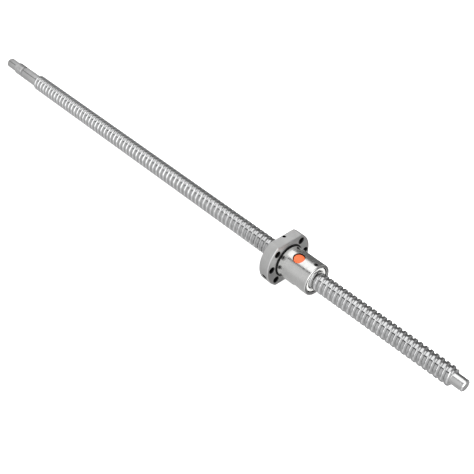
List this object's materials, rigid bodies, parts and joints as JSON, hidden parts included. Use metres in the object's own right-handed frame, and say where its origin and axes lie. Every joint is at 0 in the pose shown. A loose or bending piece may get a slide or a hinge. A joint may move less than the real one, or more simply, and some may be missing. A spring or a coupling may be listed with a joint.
{
  "type": "ball screw assembly",
  "caption": "Rolled ball screw with machined bearing ends and a flanged single nut holding recirculating balls, turning rotation into linear travel.",
  "frame": {"origin": "on the screw's axis at mid-length", "axes": "+X along the screw towards the short floating-bearing stub, +Z square to the two flats of the nut's flange"},
  "size_m": [0.6, 0.048, 0.04],
  "materials": {
    "screw_steel": "rolled and polished thread, machined bright ends",
    "nut_steel": "ground and polished barrel, satin flange",
    "ball_steel": "mirror-polished bearing steel",
    "set_screw_steel": "black oxide",
    "orange_plastic": "moulded orange plastic, satin",
    "wiper_plastic": "moulded off-white plastic"
  },
  "bodies": {
    "screw": {"screw_shaft": "screw_steel"},
    "wipers": {"wiper_flange_end": "wiper_plastic", "wiper_body_end": "wiper_plastic"},
    "nut": {"nut_body": "nut_steel", "wiper_lock_screw_flange_end": "set_screw_steel", "wiper_lock_screw_body_end": "set_screw_steel", "return_deflector_1": "orange_plastic", "return_deflector_2": "orange_plastic", "return_deflector_3": "orange_plastic", "ball_1_01": "ball_steel", "ball_1_02": "ball_steel", "ball_1_03": "ball_steel", "ball_1_04": "ball_steel", "ball_1_05": "ball_steel", "ball_1_06": "ball_steel", "ball_1_07": "ball_steel", "ball_1_08": "ball_steel", "ball_1_09": "ball_steel", "ball_1_10": "ball_steel", "ball_1_11": "ball_steel", "ball_1_12": "ball_steel", "ball_1_13": "ball_steel", "ball_1_14": "ball_steel", "ball_1_15": "ball_steel", "ball_1_16": "ball_steel", "ball_2_01": "ball_steel", "ball_2_02": "ball_steel", "ball_2_03": "ball_steel", "ball_2_04": "ball_steel", "ball_2_05": "ball_steel", "ball_2_06": "ball_steel", "ball_2_07": "ball_steel", "ball_2_08": "ball_steel", "ball_2_09": "ball_steel", "ball_2_10": "ball_steel", "ball_2_11": "ball_steel", "ball_2_12": "ball_steel", "ball_2_13": "ball_steel", "ball_2_14": "ball_steel", "ball_2_15": "ball_steel", "ball_2_16": "ball_steel", "ball_3_01": "ball_steel", "ball_3_02": "ball_steel", "ball_3_03": "ball_steel", "ball_3_04": "ball_steel", "ball_3_05": "ball_steel", "ball_3_06": "ball_steel", "ball_3_07": "ball_steel", "ball_3_08": "ball_steel", "ball_3_09": "ball_steel", "ball_3_10": "ball_steel", "ball_3_11": "ball_steel", "ball_3_12": "ball_steel", "ball_3_13": "ball_steel", "ball_3_14": "ball_steel", "ball_3_15": "ball_steel", "ball_3_16": "ball_steel"}
  },
  "joints": [
    {"name": "nut_travel", "type": "slide", "parent": "screw", "child": "wipers", "axis": [1, 0, 0], "range_m": [-0.3551, 0.1251]},
    {"name": "nut_spin", "type": "hinge", "parent": "wipers", "child": "nut", "pos_m": [0.133, 0, 0], "axis": [1, 0, 0], "range_deg": [-25560, 9000]}
  ],
  "couplings": [
    {"joint": "nut_travel", "follows": "nut_spin", "m_per_rad": 0.00079577}
  ]
}
